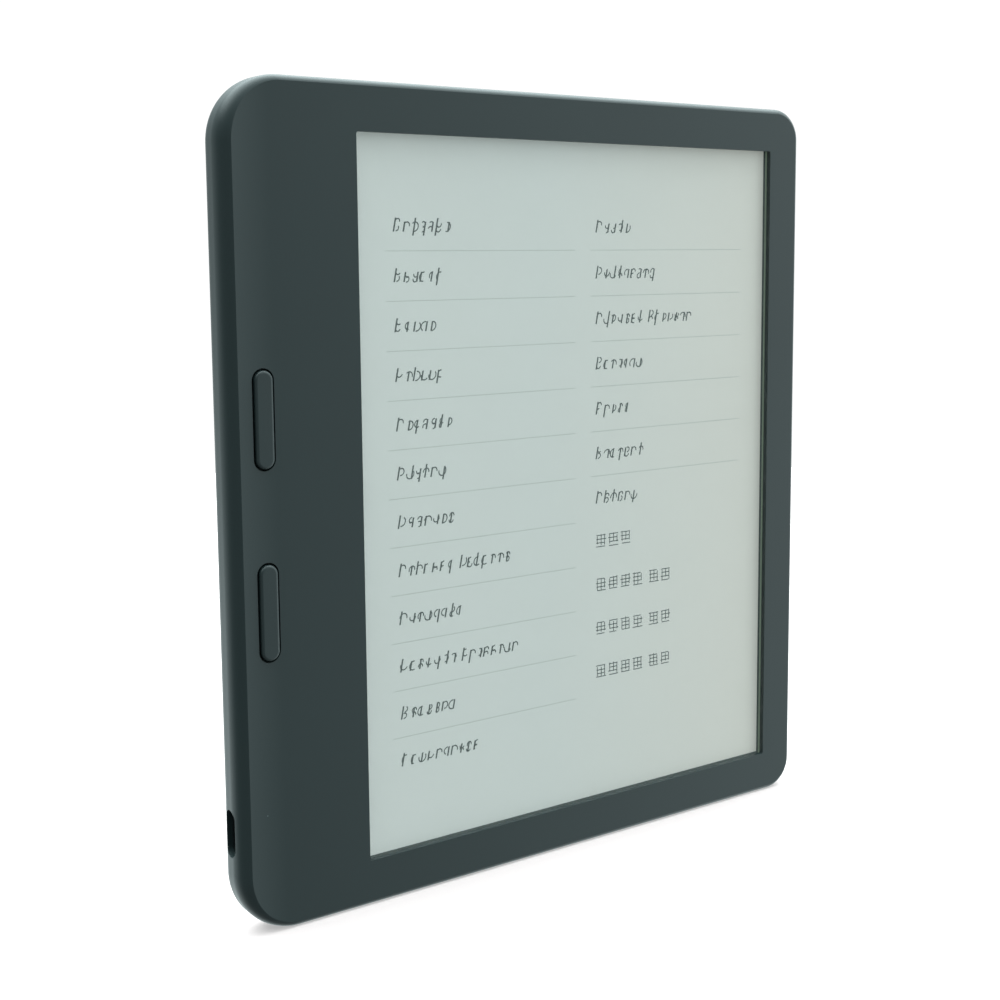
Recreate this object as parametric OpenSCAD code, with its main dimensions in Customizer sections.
// Seven-inch e-reader with a wide grip side, two page keys and a USB-C port.
// It stands on its bottom edge: X is the width with the grip at -X, -Y is the reading side,
// Z is the height. The origin is the middle of the bottom edge.
// Depths (names ending in _d) are measured back from the flat front face.

/* [Housing] */
// Width across the page
body_w = 144.6; // [138:0.1:175]
// Height along the page
body_h = 161; // [150:0.1:195]
// Depth from the flat front face to the back plane
body_d = 7.8; // [7.6:0.05:9.5]
// Outline corner radius on the grip side
grip_corner_r = 12.4; // [9:0.1:16]
// Outline corner radius on the slim side
slim_corner_r = 6.8; // [4.5:0.1:9]
// Side wall, from the widest outline to the hollow
wall_t = 1.9; // [1.7:0.05:2.3]
// Front face thickness
face_t = 1; // [0.8:0.05:1.2]
// Rear cover thickness
cover_t = 1.15; // [1:0.05:1.4]
// Glue seam between the housing and the rear cover
seam_t = 0.1; // [0.05:0.01:0.2]

/* [Edge shape] */
// Height of the lip along the grip edge
lip_h = 0.5; // [0.2:0.05:0.65]
// Width of the ramp that leads up to the lip
lip_ramp_w = 7.5; // [5:0.1:9]
// Front rounding on the grip side, measured across
grip_front_w = 2.5; // [1.5:0.1:3]
// Front rounding on the grip side, measured in depth
grip_front_h = 3.2; // [2:0.1:3.5]
// Front rounding on the other three sides, measured across
slim_front_w = 1.1; // [0.6:0.1:1.6]
// Front rounding on the other three sides, measured in depth
slim_front_h = 1.4; // [0.8:0.1:2]
// Rear rounding on the grip side, measured across
grip_rear_w = 3.3; // [2.5:0.1:3.6]
// Rear rounding on the grip side, measured in depth
grip_rear_h = 3.6; // [3:0.1:3.9]
// Rear rounding on the other three sides, measured across
slim_rear_w = 2.9; // [2:0.1:3.2]
// Rear rounding on the other three sides, measured in depth
slim_rear_h = 3.2; // [2.5:0.1:3.6]

/* [Screen] */
// Bezel on the grip side
grip_bezel = 28; // [26:0.1:34]
// Bezel on the slim side
slim_bezel = 9.1; // [8.8:0.1:12]
// Bezel above the page
top_bezel = 9.55; // [9.2:0.05:12]
// Bezel below the page
bottom_bezel = 9.25; // [9.2:0.05:12]
// Corner radius of the window
window_r = 0.5; // [0.3:0.1:1.5]
// Overlap of the cover film behind the bezel
film_lap = 1.9; // [1.5:0.1:2.1]
// Cover film and touch sensor thickness
film_t = 0.3; // [0.2:0.05:0.4]
// Front light guide thickness
guide_t = 0.5; // [0.4:0.05:0.6]
// Ink film thickness
ink_t = 0.2; // [0.15:0.05:0.3]
// Backplane glass thickness
glass_t = 0.5; // [0.4:0.05:0.6]
// Glass ledge for the driver chips, on the grip side
ledge_w = 7; // [6:0.1:7.5]

/* [Page keys] */
// Distance between the key centres
key_pitch = 36.1; // [30:0.1:42]
// Distance from the grip edge to the key centres
key_inset = 7.55; // [7.2:0.05:8.2]
// Slot length
slot_l = 19; // [15:0.1:22]
// Slot width
slot_w = 4.5; // [3.8:0.1:5]
// Gap round a key
key_gap = 0.4; // [0.25:0.01:0.45]
// Height of the key tops above the flat front face
key_proud = 0.7; // [0.65:0.05:0.9]
// Edge chamfer of a key
key_chamfer = 0.45; // [0.3:0.05:0.5]
// Key travel
key_travel = 0.3; // [0.2:0.05:0.35]

/* [Power button] */
// Distance from the grip edge to the button centre
power_inset = 15.5; // [14:0.1:17]
// Height of the button centre
power_z = 38; // [37:0.1:40]
// Button radius
power_r = 3.6; // [3:0.1:4]
// Gap round the button
power_gap = 0.2; // [0.15:0.01:0.3]
// Depth of the button face below the back plane
power_sink = 0.2; // [0.1:0.05:0.3]
// Button travel
power_travel = 0.25; // [0.2:0.05:0.3]

/* [USB port] */
// Height of the port centre
usb_z = 20.4; // [19:0.1:22]
// Depth of the port centre
usb_d = 3.42; // [3.3:0.02:3.5]
// Receptacle shell width
usb_shell_w = 8.94; // [8.94]
// Receptacle shell height
usb_shell_h = 3.16; // [3.16]
// Receptacle shell length
usb_shell_l = 7.35; // [7:0.05:8]
// Receptacle shell wall
usb_shell_t = 0.3; // [0.25:0.01:0.32]
// Cut-out clearance round the shell
usb_clear = 0.15; // [0.1:0.01:0.25]
// Depth of the shell mouth inside the side wall
usb_recess = 1.3; // [0.8:0.1:2]

/* [Boards and battery] */
// Circuit board thickness
board_t = 0.8; // [0.6:0.05:0.9]
// Main board width
board_w = 23; // [22.5:0.1:24]
// Reach of the main board above the middle of the housing
board_rise = 47; // [46:0.5:50]
// Battery cell width
cell_w = 72; // [50:0.5:84]
// Battery cell height
cell_h = 92; // [70:0.5:110]
// Battery cell thickness
cell_t = 2.5; // [2:0.05:2.6]
// Chassis plate thickness
chassis_t = 0.7; // [0.5:0.05:0.8]

/* [Hidden] */

// Small values used to run a cut past a face, and for a bond line between layers
over = 1;
bond = 0.03;
round_fn = 48;

// Depth frame: the key tops and the back plane are the same distance from Y = 0
front_y = key_proud - (body_d + key_proud) / 2;
function yd(d) = front_y + d;
// Places measured from the grip edge, the slim edge and the top edge
function xg(v) = v - body_w / 2;
function xs(v) = body_w / 2 - v;
function zt(v) = body_h - v;

// Depths of the layers
cover_d = body_d - cover_t;
part_d = cover_d - seam_t;
film_d = face_t + 0.1;
guide_d = film_d + film_t + bond;
ink_d = guide_d + guide_t + bond;
glass_d = ink_d + ink_t;
tape_d = glass_d + glass_t;
chassis_d = tape_d + 0.1;
chassis_back_d = chassis_d + chassis_t;
board_d = usb_d + usb_shell_h / 2;
board_back_d = board_d + board_t;
cell_d = chassis_back_d + 0.1;

// Page window
win_x0 = xg(grip_bezel);
win_x1 = xs(slim_bezel);
win_z0 = bottom_bezel;
win_z1 = zt(top_bezel);
mid_z = body_h / 2;

// Key places
key_x = xg(key_inset);
key_zs = [mid_z + key_pitch / 2, mid_z - key_pitch / 2];
flange_lap = 0.7;
seal_t = 0.12;
stem_r = 0.6;
stem_gap = 0.08;
power_x = xg(power_inset);

// ---------- Outline and skin ----------

// Outline of the body, drawn in by an inset, with true round corners
module body_outline(inset) {
    rg = grip_corner_r - inset;
    rs = slim_corner_r - inset;
    x0 = xg(inset);
    x1 = xs(inset);
    z0 = inset;
    z1 = zt(inset);
    translate([x0 + rg, z0]) square([x1 - rs - x0 - rg, z1 - z0]);
    translate([x0, z0 + rg]) square([rg, z1 - z0 - 2 * rg]);
    translate([x1 - rs, z0 + rs]) square([rs, z1 - z0 - 2 * rs]);
    for (z = [z0 + rg, z1 - rg]) translate([x0 + rg, z]) circle(r = rg, $fn = round_fn);
    for (z = [z0 + rs, z1 - rs]) translate([x1 - rs, z]) circle(r = rs, $fn = round_fn);
}

// Rectangle with true round corners
module round_rect(x0, x1, z0, z1, r) {
    translate([x0 + r, z0]) square([x1 - x0 - 2 * r, z1 - z0]);
    translate([x0, z0 + r]) square([x1 - x0, z1 - z0 - 2 * r]);
    for (x = [x0 + r, x1 - r], z = [z0 + r, z1 - r]) translate([x, z]) circle(r = r, $fn = round_fn);
}

// A flat shape given thickness between two depths
module plate(d0, d1) {
    translate([0, yd(d1), 0]) rotate([90, 0, 0]) linear_extrude(height = d1 - d0) children();
}

// A block between two depths
module block(x0, x1, z0, z1, d0, d1) {
    translate([x0, yd(d0), z0]) cube([x1 - x0, d1 - d0, z1 - z0]);
}

// A round bar along the depth
module rod(x, z, d0, d1, r) {
    translate([x, yd(d1), z]) rotate([90, 0, 0]) cylinder(h = d1 - d0, r = r, $fn = round_fn);
}

// Corner steps of the skin, and rounding steps over an edge
grip_steps = 10;
slim_steps = 6;
edge_steps = 5;
edge_angle = 68;

// One half of the outline as [corner x, corner z, corner radius, direction]
function half_outline() = concat(
    [for (i = [0:slim_steps])
        [xs(slim_corner_r), zt(slim_corner_r), slim_corner_r, 90 * i / slim_steps]],
    [for (i = [0:grip_steps])
        [xg(grip_corner_r), zt(grip_corner_r), grip_corner_r, 90 + 90 * i / grip_steps]]);
half_count = slim_steps + grip_steps + 2;

// A size that changes from the slim sides to the grip side round the corners
function blend_size(slim, grip, a) = slim + (grip - slim) * pow(max(0, -cos(a)), 1.5);
// Lip height at a place across the front
function lip_at(x) = lip_h * pow(max(0, min(1, (xg(grip_front_w + lip_ramp_w) - x) / lip_ramp_w)), 2);
function inset_x(p, inset) = p[0] + (p[2] - inset) * cos(p[3]);
function inset_z(p, inset) = p[1] + (p[2] - inset) * sin(p[3]);

// A closed ring of points from one half: the other half is its mirror image
function mirror_half(half) = concat(half,
    [for (i = [len(half) - 1:-1:0]) [half[i][0], half[i][1], body_h - half[i][2]]]);

// Ring on the front rounding, from the crease (edge_angle) to the side wall (0)
function front_ring(angle) = mirror_half([for (p = half_outline())
    let (w = blend_size(slim_front_w, grip_front_w, p[3]),
         h = blend_size(slim_front_h, grip_front_h, p[3]),
         inset = w * (1 - cos(angle)) / (1 - cos(edge_angle)),
         d = h * (1 - sin(angle) / sin(edge_angle)) - lip_at(inset_x(p, w)))
    [inset_x(p, inset), yd(d), inset_z(p, inset)]]);

// Ring on the rear rounding, a share of the way from one depth to another
function rear_ring(start_d, end_d, share) = mirror_half([for (p = half_outline())
    let (w = blend_size(slim_rear_w, grip_rear_w, p[3]),
         h = blend_size(slim_rear_h, grip_rear_h, p[3]),
         a0 = asin(max(0, (start_d - body_d + h) / h)),
         a1 = asin((end_d - body_d + h) / h),
         a = a0 + (a1 - a0) * share,
         inset = w * (1 - cos(a)))
    [inset_x(p, inset), yd(body_d - h + h * sin(a)), inset_z(p, inset)]]);

// Two triangles for a face with four corners
function split_face(a, b, c, d) = [[a, c, b], [a, d, c]];

// A solid through a list of rings, closed at both ends by strips between mirrored points
module ring_solid(rings) {
    n = 2 * half_count;
    last = (len(rings) - 1) * n;
    quads = concat(
        [for (i = [0:half_count - 2]) [i, i + 1, n - 2 - i, n - 1 - i]],
        [for (j = [0:len(rings) - 2], i = [0:n - 1])
            [j * n + i, (j + 1) * n + i, (j + 1) * n + (i + 1) % n, j * n + (i + 1) % n]],
        [for (i = [0:half_count - 2]) [last + n - 1 - i, last + n - 2 - i, last + i + 1, last + i]]);
    polyhedron(points = [for (r = rings, p = r) p],
        faces = [for (q = quads, t = split_face(q[0], q[1], q[2], q[3])) t]);
}

module front_skin() {
    ring_solid(concat(
        [for (i = [0:edge_steps]) front_ring(edge_angle * (1 - i / edge_steps))],
        [for (i = [0:2]) rear_ring(0, part_d, i / 2)]));
}

module rear_skin() {
    ring_solid([for (i = [0:edge_steps]) rear_ring(cover_d, body_d, i / edge_steps)]);
}

// ---------- Pill shapes ----------

// Pill outline standing along Z
module pill(w, l) {
    square([w, l - w], center = true);
    for (s = [-1, 1]) translate([0, s * (l - w) / 2]) circle(r = w / 2, $fn = round_fn);
}

module pill_at(x, z, w, l, d0, d1) {
    plate(d0, d1) translate([x, z]) pill(w, l);
}

// Pill with a chamfered front edge
module key_cap(x, z, w, l, d0, d1) {
    pill_at(x, z, w, l, d0 + key_chamfer, d1);
    translate([x, yd(d0 + key_chamfer), z]) rotate([90, 0, 0]) {
        for (s = [-1, 1]) translate([0, s * (l - w) / 2, 0])
            cylinder(h = key_chamfer, r1 = w / 2, r2 = w / 2 - key_chamfer, $fn = round_fn);
        rotate([90, 0, 0]) linear_extrude(height = l - w, center = true)
            polygon([[-w / 2, 0], [w / 2, 0], [w / 2 - key_chamfer, key_chamfer],
                [key_chamfer - w / 2, key_chamfer]]);
    }
}

// ---------- Screw places ----------

boss_r = 1.5;
boss_inset = wall_t + boss_r + 0.3;
boss_floor_t = 0.2;
screw_r = 0.55;
pilot_gap = 0.03;
screw_gap = 0.15;
screw_head_r = 1.15;
screw_head_t = 0.45;
// Chassis screws, round the page and down the grip
page_screw_in = 6;
side_screw_rise = 34;
grip_screw_inset = 18;
grip_screw_rises = [-28.5, 52];
grip_screw_drop = 12;
chassis_screw_at = concat(
    [for (x = [win_x0 + page_screw_in, (win_x0 + win_x1) / 2, win_x1 - page_screw_in],
        z = [boss_inset, zt(boss_inset)]) [x, z]],
    [for (s = [-1, 1]) [xs(boss_inset), mid_z + s * side_screw_rise]],
    [for (rise = grip_screw_rises) [xg(grip_screw_inset), mid_z + rise]],
    [[xg(grip_screw_inset), zt(boss_inset + grip_screw_drop)]]);
// Board screws, at the main board's corners and middle
board_gap = 0.6;
board_x0 = xg(wall_t + board_gap);
board_x1 = board_x0 + board_w;
board_z0 = 9.5;
board_z1 = mid_z + board_rise;
board_edge = 2.4;
port_screw_in = 3.5;
lamp_screw_rise = 6;
board_screw_at = [[board_x1 - board_edge, board_z0 + board_edge],
    [board_x0 + board_edge + port_screw_in, board_z0 + board_edge],
    [board_x0 + board_edge, board_z1 - board_edge],
    [board_x1 - board_edge, board_z1 - board_edge],
    [board_x0 + board_edge, power_z + lamp_screw_rise]];
key_board_w = 8.4;
key_board_t = 0.5;
key_board_d = chassis_back_d + 0.05;
key_screw_in = 11;
key_board_screw_at = [for (s = [-1, 1]) [key_x, mid_z + s * (key_pitch / 2 - key_screw_in)]];

module screw_set(places, head_d, tip_d) {
    for (p = places) {
        rod(p[0], p[1], head_d, head_d + screw_head_t, screw_head_r);
        rod(p[0], p[1], tip_d, head_d + bond, screw_r);
    }
}

// ---------- Housing ----------

usb_mouth_x = xg(usb_recess);
usb_cut_w = usb_shell_w + 2 * usb_clear;
usb_cut_h = usb_shell_h + 2 * usb_clear;

// Pill along X for the port, w is its height along Z and h its depth
module port_pill(x0, x1, w, h) {
    translate([x0, yd(usb_d), usb_z]) rotate([90, 0, 90]) linear_extrude(height = x1 - x0)
        pill(h, w);
}

module front_housing() {
    color("#3b4546") difference() {
        union() {
            difference() {
                front_skin();
                plate(face_t, part_d + over) body_outline(wall_t);
            }
            for (p = chassis_screw_at) rod(p[0], p[1], face_t - bond, chassis_d, boss_r);
        }
        plate(-over - lip_h, face_t + over) round_rect(win_x0, win_x1, win_z0, win_z1, window_r);
        for (z = key_zs) pill_at(key_x, z, slot_w, slot_l, -over - lip_h, face_t + over);
        port_pill(xg(-over), xg(wall_t + over), usb_cut_w, usb_cut_h);
        for (p = chassis_screw_at)
            rod(p[0], p[1], face_t + boss_floor_t, chassis_d + over, screw_r + pilot_gap);
    }
}

cover_rim_t = 0.8;
cover_rim_h = 0.7;
cover_rim_gap = 0.15;

module rear_cover() {
    color("#343c3e") difference() {
        union() {
            rear_skin();
            plate(cover_d - cover_rim_h, cover_d + bond) difference() {
                body_outline(wall_t + cover_rim_gap);
                body_outline(wall_t + cover_rim_gap + cover_rim_t);
            }
        }
        rod(power_x, power_z, cover_d - over, body_d + over, power_r + power_gap);
        rod(power_x, power_z + led_offset, cover_d - over, body_d + over, led_r + led_gap);
    }
}

// Glue ring in the seam
glue_w = 0.55;
glue_inset = 0.05;
module cover_gasket() {
    color("#15181a") plate(part_d, cover_d) difference() {
        body_outline(wall_t - glue_inset - glue_w);
        body_outline(wall_t - glue_inset);
    }
}

// ---------- Screen stack ----------

film_x0 = win_x0 - film_lap;
film_x1 = win_x1 + film_lap;
film_z0 = win_z0 - film_lap;
film_z1 = win_z1 + film_lap;
// How far the gasket keeps back from the window, and the lower layers from the film's edge
gasket_back = 0.3;
guide_back = 0.3;
ink_back = 0.8;

module display_gasket() {
    color("#0f1112") plate(face_t, film_d) difference() {
        round_rect(film_x0, film_x1, film_z0, film_z1, window_r);
        round_rect(win_x0 - gasket_back, win_x1 + gasket_back, win_z0 - gasket_back,
            win_z1 + gasket_back, window_r);
    }
}

module touch_film() {
    color("#c9d3cf") plate(film_d, film_d + film_t) round_rect(film_x0, film_x1, film_z0, film_z1, window_r);
}

module light_guide() {
    color("#dfe6e3") block(film_x0 + guide_back, film_x1 - guide_back, film_z0 + guide_back,
        film_z1 - guide_back, guide_d, guide_d + guide_t);
}

// Strip with the front light's lamps, below the guide, and its tail to the grip side
bar_h = 1.7;
bar_z1 = film_z0 - 0.1;
bar_z0 = bar_z1 - bar_h;
bar_x1 = win_x1 - 2;
bar_t = 0.12;
bar_d = guide_d + guide_t;
tail_l = 12;
tail_h = 1.2;
led_count = 12;
led_w = 2.4;
led_h = 1.25;
led_lap = 0.35;
led_end = 4;
module light_bar() {
    color("#c58b3a") {
        block(win_x0, bar_x1, bar_z0, bar_z1, bar_d, bar_d + bar_t);
        block(win_x0 - tail_l, win_x0, bar_z0, bar_z0 + tail_h, bar_d, bar_d + bar_t);
    }
}

module light_leds() {
    step = (bar_x1 - win_x0 - 2 * led_end) / (led_count - 1);
    color("#f2e9c4") for (i = [0:led_count - 1]) {
        x = win_x0 + led_end + i * step;
        block(x - led_w / 2, x + led_w / 2, bar_z1 + led_lap - led_h, bar_z1 + led_lap,
            guide_d + 0.05, bar_d);
    }
}

module ink_film() {
    color("#bcc8c4") block(film_x0 + ink_back, film_x1 - ink_back, film_z0 + ink_back, film_z1 - ink_back,
        ink_d, ink_d + ink_t);
}

module backplane_glass() {
    color("#8fa3a0") block(win_x0 - ledge_w, film_x1 - guide_back, film_z0 + guide_back, film_z1 - guide_back,
        glass_d, glass_d + glass_t);
}

// Driver chips in a row on the glass ledge
chip_count = 3;
driver_w = 1.6;
driver_l = 18;
driver_t = 0.35;
driver_inset = 4.2;
module driver_chips() {
    color("#24282b") for (i = [0:chip_count - 1]) {
        z = win_z0 + (win_z1 - win_z0) * (i + 0.5) / chip_count;
        block(win_x0 - driver_inset, win_x0 - driver_inset + driver_w, z - driver_l / 2, z + driver_l / 2,
            glass_d - driver_t, glass_d);
    }
}

tape_w = 6;
tape_inset = 2;
tape_end = 6;
module display_tape() {
    color("#202426") for (x = [win_x0 + tape_inset, win_x1 - tape_inset - tape_w])
        block(x, x + tape_w, win_z0 + tape_end, win_z1 - tape_end, tape_d, chassis_d);
}

// ---------- Chassis ----------

ribbon_x = xg(16.4);
ribbon_t = 0.15;
display_ribbon_z = mid_z + 32.5;
display_ribbon_w = 22;
touch_ribbon_z = mid_z - 18;
touch_ribbon_w = 9;
window_gap = 0.8;
standoff_r = 1.7;
power_post_r = 0.9;
power_post_in = 1;
chassis_gap = 0.5;
switch_hole_gap = 0.3;
port_hole_gap = 0.8;
power_board_d = chassis_back_d + 0.6;
power_board_t = 0.5;
power_board_w = 10;
power_board_l = 9;

// Opening in the chassis for a ribbon, centred on a height
module ribbon_window(z, w) {
    block(ribbon_x - window_gap, ribbon_x + ribbon_t + window_gap, z - w / 2 - window_gap,
        z + w / 2 + window_gap, chassis_d - over, chassis_back_d + over);
}

module chassis() {
    switch_hole = switch_w + 2 * switch_hole_gap;
    color("#8d9294") difference() {
        union() {
            plate(chassis_d, chassis_back_d) body_outline(wall_t + chassis_gap);
            for (p = board_screw_at) rod(p[0], p[1], chassis_back_d - bond, board_d, standoff_r);
            for (s = [-1, 1]) rod(power_x + s * (power_board_w / 2 - power_post_in), power_z,
                chassis_back_d - bond, power_board_d, power_post_r);
        }
        for (p = chassis_screw_at)
            rod(p[0], p[1], chassis_d - over, chassis_back_d + over, screw_r + screw_gap);
        for (p = board_screw_at) rod(p[0], p[1], chassis_d - over, board_d + over, screw_r + pilot_gap);
        for (p = key_board_screw_at)
            rod(p[0], p[1], chassis_d - over, chassis_back_d + over, screw_r + pilot_gap);
        for (z = key_zs) block(key_x - switch_hole / 2, key_x + switch_hole / 2,
            z - switch_hole / 2, z + switch_hole / 2, chassis_d - over, chassis_back_d + over);
        ribbon_window(display_ribbon_z, display_ribbon_w);
        ribbon_window(touch_ribbon_z, touch_ribbon_w);
        block(xg(0), usb_mouth_x + usb_shell_l + port_hole_gap / 2, usb_z - usb_shell_w / 2 - port_hole_gap,
            usb_z + usb_shell_w / 2 + port_hole_gap, chassis_d - over, chassis_back_d + over);
    }
}

module chassis_screws() {
    color("#b9bcbd") screw_set(chassis_screw_at, chassis_back_d, face_t + 0.4);
}

// ---------- Page keys ----------

key_w = slot_w - 2 * key_gap;
key_l = slot_l - 2 * key_gap;
flange_gap = 0.06;
flange_d = face_t + seal_t + flange_gap;
flange_t = 0.35;
key_foot_d = flange_d + flange_t;
switch_w = 3.4;
switch_t = 0.9;
switch_d = key_board_d - switch_t;
dome_d = key_board_d - 0.2;
dome_t = 0.06;
dome_r = 1.2;
well_r = 1.3;
well_floor_t = 0.1;
well_h = 0.5;
stem_tip_d = dome_d - key_travel - 0.04;

module page_key(z) {
    color("#3a4445") {
        key_cap(key_x, z, key_w, key_l, -key_proud, flange_d + bond);
        pill_at(key_x, z, slot_w + flange_lap, slot_l + flange_lap, flange_d, key_foot_d);
    }
}

// Push stem of a tactile switch, which rides with the key above it
module switch_stem(x, z, top_d, tip_d) {
    color("#d8d4c6") rod(x, z, top_d, tip_d, stem_r);
}

// Tactile switch body with a well for its stem
module switch_base(x, z, front_d, back_d) {
    color("#16191b") difference() {
        block(x - switch_w / 2, x + switch_w / 2, z - switch_w / 2, z + switch_w / 2, front_d, back_d);
        rod(x, z, front_d - over, back_d - well_floor_t - well_h, stem_r + stem_gap);
        rod(x, z, back_d - well_floor_t - well_h, back_d - well_floor_t, well_r);
    }
}

// Snap dome, drawn pressed flat on its contact
module switch_dome(x, z, d) {
    color("#c7c9c4") rod(x, z, d, d + dome_t, dome_r);
}

// Soft ring that the key flange closes against
module key_seal(z) {
    color("#101314") plate(face_t, face_t + seal_t) translate([key_x, z]) difference() {
        pill(slot_w + flange_lap, slot_l + flange_lap);
        pill(slot_w + 0.1, slot_l + 0.1);
    }
}

module page_key_upper() { page_key(key_zs[0]); }
module page_key_lower() { page_key(key_zs[1]); }
module upper_key_stem() { switch_stem(key_x, key_zs[0], key_foot_d, stem_tip_d); }
module lower_key_stem() { switch_stem(key_x, key_zs[1], key_foot_d, stem_tip_d); }
module upper_key_seal() { key_seal(key_zs[0]); }
module lower_key_seal() { key_seal(key_zs[1]); }
module upper_switch_base() { switch_base(key_x, key_zs[0], switch_d, key_board_d); }
module lower_switch_base() { switch_base(key_x, key_zs[1], switch_d, key_board_d); }
module upper_switch_dome() { switch_dome(key_x, key_zs[0], dome_d); }
module lower_switch_dome() { switch_dome(key_x, key_zs[1], dome_d); }

key_board_end = 5;
key_board_z0 = key_zs[1] - key_board_end;
key_board_z1 = key_zs[0] + key_board_end;
module key_board() {
    color("#1f4a3a") difference() {
        block(key_x - key_board_w / 2, key_x + key_board_w / 2, key_board_z0, key_board_z1,
            key_board_d, key_board_d + key_board_t);
        for (p = key_board_screw_at) rod(p[0], p[1], key_board_d - over, key_board_d + key_board_t + over,
            screw_r + screw_gap);
    }
}

module key_board_screws() {
    color("#b9bcbd") screw_set(key_board_screw_at, key_board_d + key_board_t, chassis_d + 0.05);
}

// Flex strip from the key board to its connector on the main board
key_flex_d = key_board_d + key_board_t;
key_flex_z = mid_z - 4;
key_flex_w = 4;
connector_x0 = xg(17.5);
connector_d = key_flex_d + ribbon_t;
module key_flex() {
    color("#c58b3a") block(key_x + 2, connector_x0 + 2.9, key_flex_z - key_flex_w / 2,
        key_flex_z + key_flex_w / 2, key_flex_d, key_flex_d + ribbon_t);
}

// ---------- Power button ----------

led_offset = 6.2;
led_r = 0.6;
led_gap = 0.05;
power_flange_t = 0.4;
power_flange_lap = 0.5;
power_flange_d = cover_d - seal_t - flange_gap - power_flange_t;
power_switch_d = power_board_d + power_board_t;
power_dome_d = power_switch_d + 0.15;
power_tip_d = power_dome_d + dome_t + power_travel + 0.04;

module power_button() {
    color("#2f3638") {
        rod(power_x, power_z, power_flange_d + power_flange_t - bond, body_d - power_sink, power_r);
        rod(power_x, power_z, power_flange_d, power_flange_d + power_flange_t,
            power_r + power_gap + power_flange_lap);
    }
}

module power_stem() { switch_stem(power_x, power_z, power_tip_d, power_flange_d); }

module power_seal() {
    color("#101314") plate(cover_d - seal_t, cover_d) translate([power_x, power_z]) difference() {
        circle(r = power_r + power_gap + power_flange_lap, $fn = round_fn);
        circle(r = power_r + power_gap + 0.05, $fn = round_fn);
    }
}

module power_switch_base() {
    color("#16191b") difference() {
        block(power_x - switch_w / 2, power_x + switch_w / 2, power_z - switch_w / 2,
            power_z + switch_w / 2, power_switch_d, power_switch_d + switch_t);
        rod(power_x, power_z, power_switch_d + well_floor_t + well_h, power_switch_d + switch_t + over,
            stem_r + stem_gap);
        rod(power_x, power_z, power_switch_d + well_floor_t, power_switch_d + well_floor_t + well_h, well_r);
    }
}

module power_switch_dome() { switch_dome(power_x, power_z, power_dome_d); }

module power_board() {
    color("#1f4a3a") block(power_x - power_board_w / 2, power_x + power_board_w / 2,
        power_z - power_board_l / 2, power_z + power_board_l / 2,
        power_board_d, power_board_d + power_board_t);
}

// Status lamp on the main board and the light pipe that carries it to the back
lens_d = board_back_d + 0.4;
module status_led() {
    color("#f2f0e6") block(power_x - 0.5, power_x + 0.5, power_z + led_offset - 0.3,
        power_z + led_offset + 0.3, board_back_d, lens_d - 0.05);
}

module led_lens() {
    color("#e8ecea") rod(power_x, power_z + led_offset, lens_d, body_d - 0.05, led_r);
}

// ---------- USB port ----------

usb_floor_x = usb_mouth_x + usb_shell_l - 0.8;
module usb_shell() {
    color("#4a4d4f") difference() {
        port_pill(usb_mouth_x, usb_mouth_x + usb_shell_l, usb_shell_w, usb_shell_h);
        port_pill(usb_mouth_x - over, usb_floor_x, usb_shell_w - 2 * usb_shell_t,
            usb_shell_h - 2 * usb_shell_t);
    }
}

tongue_t = 0.7;
tongue_w = 6.69;
tongue_inset = 1;
module usb_tongue() {
    color("#111314") block(usb_mouth_x + tongue_inset, usb_floor_x, usb_z - tongue_w / 2,
        usb_z + tongue_w / 2, usb_d - tongue_t / 2, usb_d + tongue_t / 2);
}

// Contact strips on both faces of the tongue
contact_count = 12;
contact_pitch = 0.5;
contact_t = 0.04;
contact_w = 0.24;
contact_l = 3.2;
contact_inset = 1.4;
module usb_contacts() {
    color("#c9a24a") for (side = [-1, 1], i = [0:contact_count - 1]) {
        z = usb_z + (i - (contact_count - 1) / 2) * contact_pitch;
        d = usb_d + side * (tongue_t / 2 + contact_t / 2);
        block(usb_mouth_x + contact_inset, usb_mouth_x + contact_inset + contact_l, z - contact_w / 2,
            z + contact_w / 2, d - contact_t / 2, d + contact_t / 2);
    }
}

// Soft ring between the shell and the side wall
usb_seal_t = 0.6;
module usb_seal() {
    color("#0e1011") difference() {
        port_pill(xg(wall_t), xg(wall_t + usb_seal_t), usb_shell_w + 1, usb_shell_h + 0.5);
        port_pill(xg(wall_t - over), xg(wall_t + usb_seal_t + over), usb_shell_w, usb_shell_h);
    }
}

// ---------- Main board ----------

power_cut_gap = 0.5;
power_cut_w = power_board_w + 2 * power_cut_gap;
power_cut_l = power_board_l + 2 * power_cut_gap;

module main_board() {
    color("#1f4a3a") difference() {
        block(board_x0, board_x1, board_z0, board_z1, board_d, board_back_d);
        block(power_x - power_cut_w / 2, power_x + power_cut_w / 2, power_z - power_cut_l / 2,
            power_z + power_cut_l / 2, board_d - over, board_back_d + over);
        for (p = board_screw_at) rod(p[0], p[1], board_d - over, board_back_d + over, screw_r + screw_gap);
    }
}

module board_screws() {
    color("#b9bcbd") screw_set(board_screw_at, board_back_d, chassis_d + 0.05);
}

// Part on the front of the main board, standing forward of it
module board_part(x0, w, z0, l, h) {
    block(xg(x0), xg(x0 + w), z0, z0 + l, board_d - h, board_d);
}

can_x = 13.2;
can_w = 11.8;
can_z = mid_z - 0.4;
can_l = 20;
can_h = 1.25;
can_t = 0.15;
can_pad = 1;
chip_h = 0.9;
chip_w = 9.6;

module shield_can() {
    color("#aeb2b3") difference() {
        board_part(can_x, can_w, can_z, can_l, can_h);
        block(xg(can_x + can_t), xg(can_x + can_w - can_t), can_z + can_t, can_z + can_l - can_t,
            board_d - can_h + can_t, board_d + over);
    }
}

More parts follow.
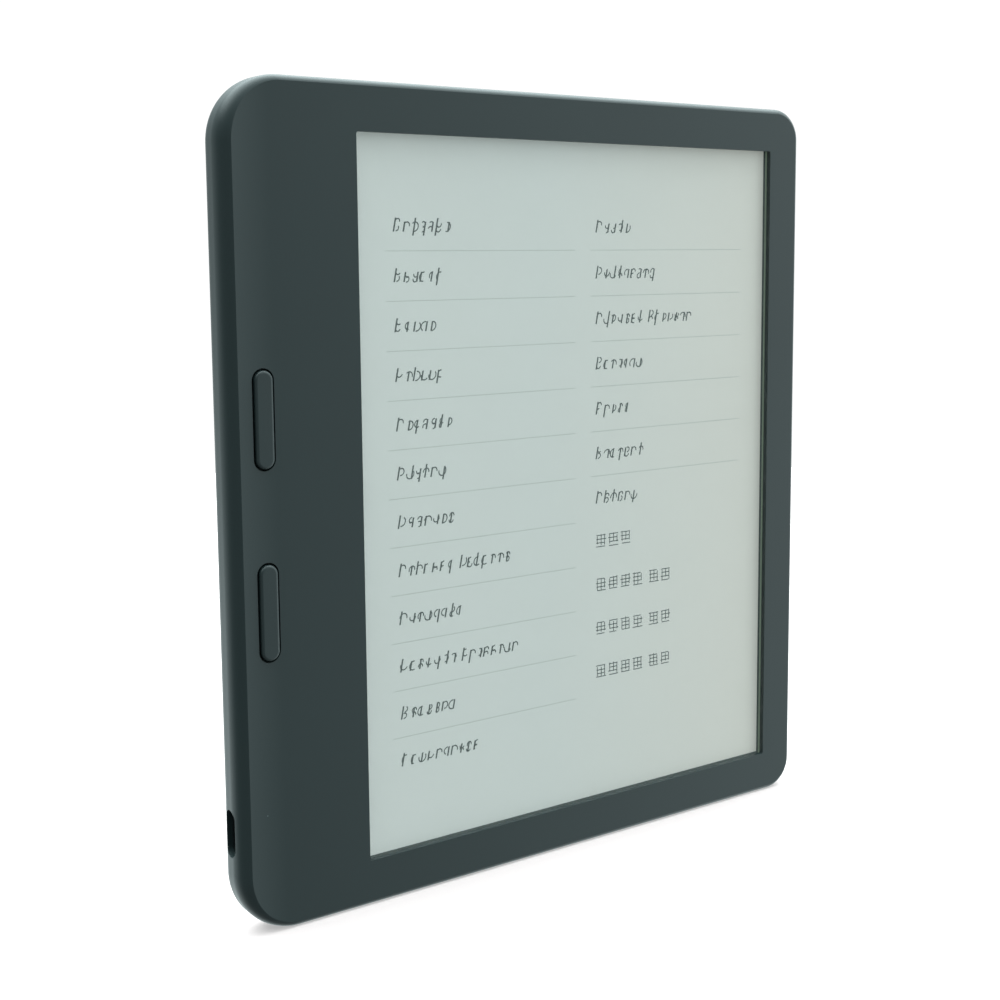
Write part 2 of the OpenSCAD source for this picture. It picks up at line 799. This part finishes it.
module processor() { color("#1b1e20") board_part(can_x + can_pad, chip_w, can_z + can_pad, chip_w, chip_h); }
module memory_chip() { color("#22262a") board_part(can_x + can_pad, chip_w, can_z + 11.4, 7.4, chip_h); }
module storage_chip() { color("#1e2224") board_part(12.1, 13, mid_z - 36, 11.5, chip_h); }
module power_chip() { color("#1b1e20") board_part(12.1, 4, mid_z - 22.5, 4, chip_h); }

module wifi_module() {
    color("#b4b8b8") board_part(4, 8.4, board_z1 - 16, 8.4, 1.2);
}

// Flip-lock connectors for the ribbons and the key flex
connector_l = 3.5;
connector_end = 1;
connector_gap = 0.9;
module connector(x0, z, w) {
    block(x0, x0 + connector_l, z - w / 2 - connector_end, z + w / 2 + connector_end, connector_d, board_d);
}

module ribbon_connectors() {
    color("#d9d5c8") {
        connector(ribbon_x + connector_gap, display_ribbon_z, display_ribbon_w);
        connector(ribbon_x + connector_gap, touch_ribbon_z, touch_ribbon_w);
        connector(connector_x0, key_flex_z, key_flex_w);
    }
}

// Ribbon that leaves a layer, turns back through the chassis and lies on its connector
module ribbon(z, w, from_x, from_d) {
    back_d = connector_d - ribbon_t;
    color("#c58b3a") {
        block(ribbon_x, from_x, z - w / 2, z + w / 2, from_d, from_d + ribbon_t);
        block(ribbon_x, ribbon_x + ribbon_t, z - w / 2, z + w / 2, from_d, connector_d);
        block(ribbon_x, ribbon_x + 3.6, z - w / 2, z + w / 2, back_d, connector_d);
    }
}

module display_ribbon() {
    ribbon(display_ribbon_z, display_ribbon_w, win_x0 - ledge_w + 1.6, glass_d - ribbon_t);
}

module touch_ribbon() {
    ribbon(touch_ribbon_z, touch_ribbon_w, film_x0 + 0.25, film_d + film_t);
}

// ---------- Antenna ----------

antenna_z0 = zt(wall_t + 6.4);
antenna_z1 = zt(wall_t + 3.6);
antenna_x0 = win_x0 + 14;
antenna_l = 30;
antenna_t = 0.2;
cable_r = 0.35;
cable_d = chassis_back_d + antenna_t + cable_r + 0.05;
module antenna() {
    color("#b98a42") block(antenna_x0, antenna_x0 + antenna_l, antenna_z0, antenna_z1,
        chassis_back_d, chassis_back_d + antenna_t);
}

// Thin coaxial lead, up from the radio module and along under the top wall
wifi_lead_x = xg(8.2);
wifi_lead_z = board_z1 - 7.6;
module antenna_cable() {
    z1 = (antenna_z0 + antenna_z1) / 2;
    color("#15181a") {
        translate([wifi_lead_x, yd(cable_d), wifi_lead_z])
            cylinder(h = z1 - wifi_lead_z, r = cable_r, $fn = 24);
        translate([wifi_lead_x, yd(cable_d), z1]) sphere(r = cable_r, $fn = 24);
        translate([wifi_lead_x, yd(cable_d), z1]) rotate([0, 90, 0])
            cylinder(h = antenna_x0 + 3 - wifi_lead_x, r = cable_r, $fn = 24);
    }
}

// ---------- Battery ----------

cell_gap = 10;
cell_r = 1.5;
cell_x0 = board_x1 + cell_gap;
cell_z0 = mid_z - cell_h / 2;
cell_z1 = cell_z0 + cell_h;
plug_x0 = board_x1 - 4.6;
plug_z = mid_z - 11.5;
plug_d = chassis_back_d + 0.35;
plug_l = 4.4;
plug_w = 6;
cell_board_d = cell_d + 1;
cell_board_t = 0.6;
cell_board_w = 4;
cell_board_l = 24;
cell_board_gap = 0.2;
pull_tape_w = 18;
pull_tape_end = 8;
lead_r = 0.4;
lead_pitch = 1.3;

module battery_cell() {
    color("#50565a") plate(cell_d, cell_d + cell_t)
        round_rect(cell_x0, cell_x0 + cell_w, cell_z0, cell_z1, cell_r);
}

module battery_board() {
    color("#1f4a3a") block(cell_x0 - cell_board_gap - cell_board_w, cell_x0 - cell_board_gap,
        plug_z - cell_board_l / 2, plug_z + cell_board_l / 2, cell_board_d, cell_board_d + cell_board_t);
}

module battery_tape() {
    color("#e4e0d2") for (s = [0.12, 0.62])
        block(cell_x0 + cell_w * s, cell_x0 + cell_w * s + pull_tape_w, cell_z0 + pull_tape_end,
            cell_z1 - pull_tape_end, chassis_back_d, cell_d);
}

module battery_leads() {
    for (i = [-1:1]) color(i < 0 ? "#1a1a1a" : i > 0 ? "#b02a24" : "#d8c23a")
        translate([plug_x0 + plug_l, yd(cell_board_d - lead_r), plug_z + i * lead_pitch]) rotate([0, 90, 0])
            cylinder(h = cell_x0 - 2 - plug_x0 - plug_l, r = lead_r, $fn = 24);
}

module battery_plug() {
    color("#e6e2d4")
        block(plug_x0, plug_x0 + plug_l, plug_z - plug_w / 2, plug_z + plug_w / 2, plug_d, board_d);
}

// ---------- Cover magnets and their sensor ----------

magnet_w = 3;
magnet_l = 18;
magnet_t = 1.6;
magnet_gap = 1.2;
magnet_rise = 52;
module cover_magnets() {
    color("#9ea2a3") for (s = [-1, 1])
        block(xs(wall_t + magnet_gap + magnet_w), xs(wall_t + magnet_gap),
            mid_z + s * magnet_rise - magnet_l / 2, mid_z + s * magnet_rise + magnet_l / 2,
            chassis_back_d, chassis_back_d + magnet_t);
}

module hall_sensor() { color("#1b1e20") board_part(19.5, 2.9, 29, 1.6, 0.6); }

// ---------- Assembly ----------

front_housing();
rear_cover();
cover_gasket();
display_gasket();
touch_film();
light_guide();
light_bar();
light_leds();
ink_film();
backplane_glass();
driver_chips();
display_tape();
chassis();
chassis_screws();
page_key_upper();
page_key_lower();
upper_key_stem();
lower_key_stem();
upper_key_seal();
lower_key_seal();
upper_switch_base();
lower_switch_base();
upper_switch_dome();
lower_switch_dome();
key_board();
key_board_screws();
key_flex();
power_button();
power_stem();
power_seal();
power_switch_base();
power_switch_dome();
power_board();
status_led();
led_lens();
usb_shell();
usb_tongue();
usb_contacts();
usb_seal();
main_board();
board_screws();
shield_can();
processor();
memory_chip();
storage_chip();
power_chip();
wifi_module();
ribbon_connectors();
display_ribbon();
touch_ribbon();
antenna();
antenna_cable();
battery_cell();
battery_board();
battery_tape();
battery_leads();
battery_plug();
cover_magnets();
hall_sensor();
